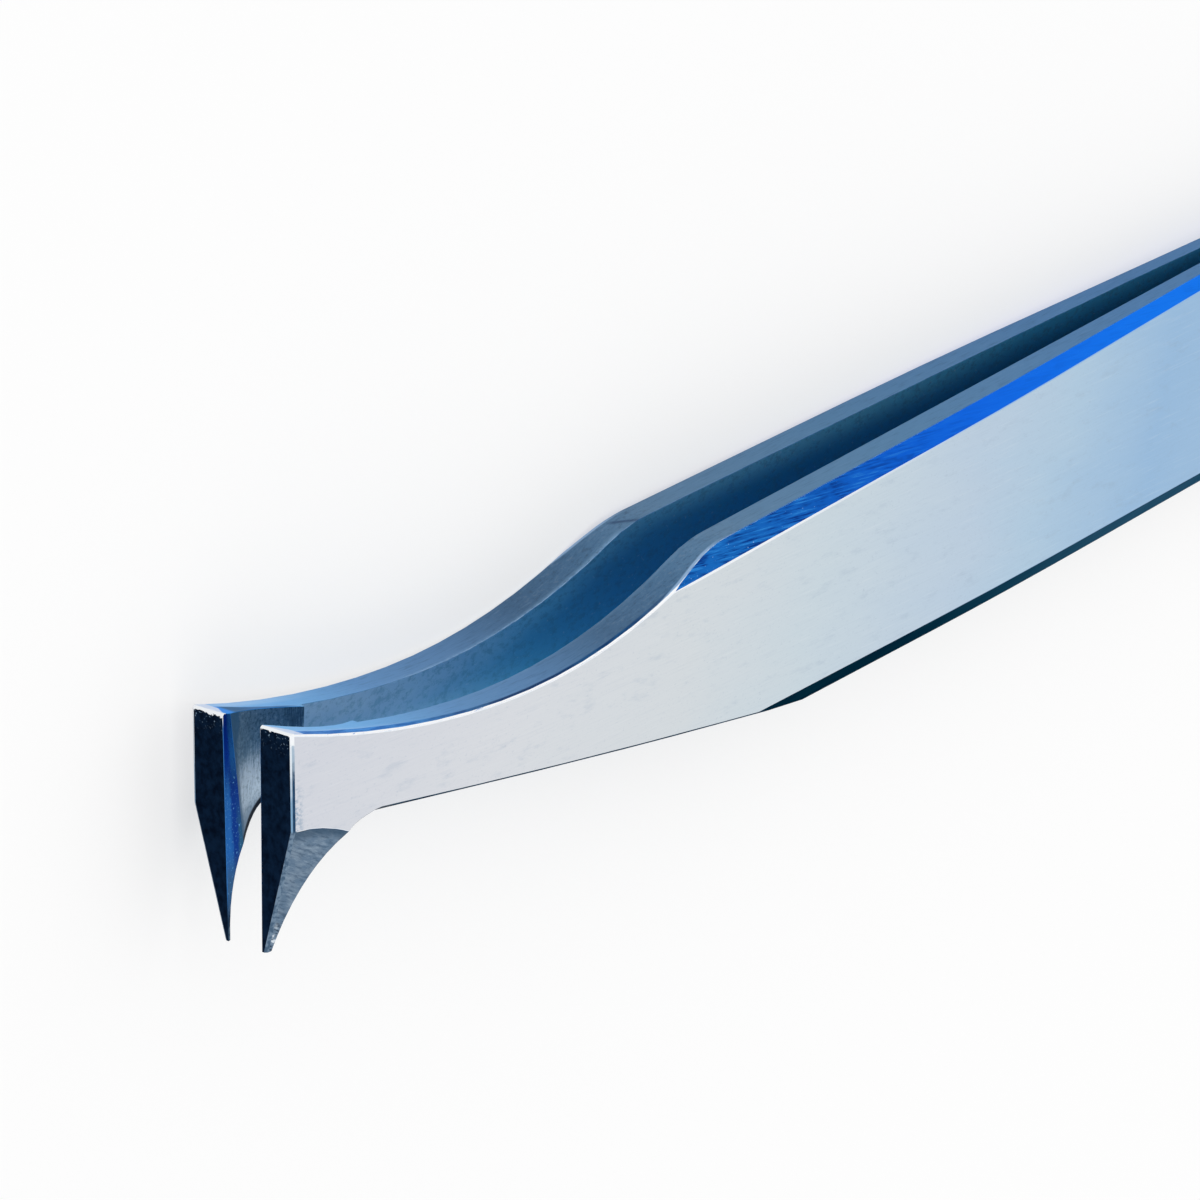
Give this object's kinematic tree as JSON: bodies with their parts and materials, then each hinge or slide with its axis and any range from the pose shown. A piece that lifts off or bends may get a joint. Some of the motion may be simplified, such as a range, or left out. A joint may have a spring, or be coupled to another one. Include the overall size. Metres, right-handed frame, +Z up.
{
  "type": "cutting tweezers",
  "caption": "Precision cutting tweezers: flat spring-steel arms joined at the tail, waisted neck, and an angled head with flush-ground cutting edges that taper to a fine tip.",
  "frame": {"origin": "centre of the footprint, on the surface that the tweezers lie on", "axes": "+X along the length from the cutting head to the tail, +Y across the width away from the cutting tips, +Z up through the thickness of both arms"},
  "size_m": [0.115, 0.01, 0.0062],
  "materials": {
    "ground_steel": "satin, finely ground"
  },
  "bodies": {
    "root": {"upper_arm": "ground_steel", "lower_arm": "ground_steel"}
  },
  "joints": []
}
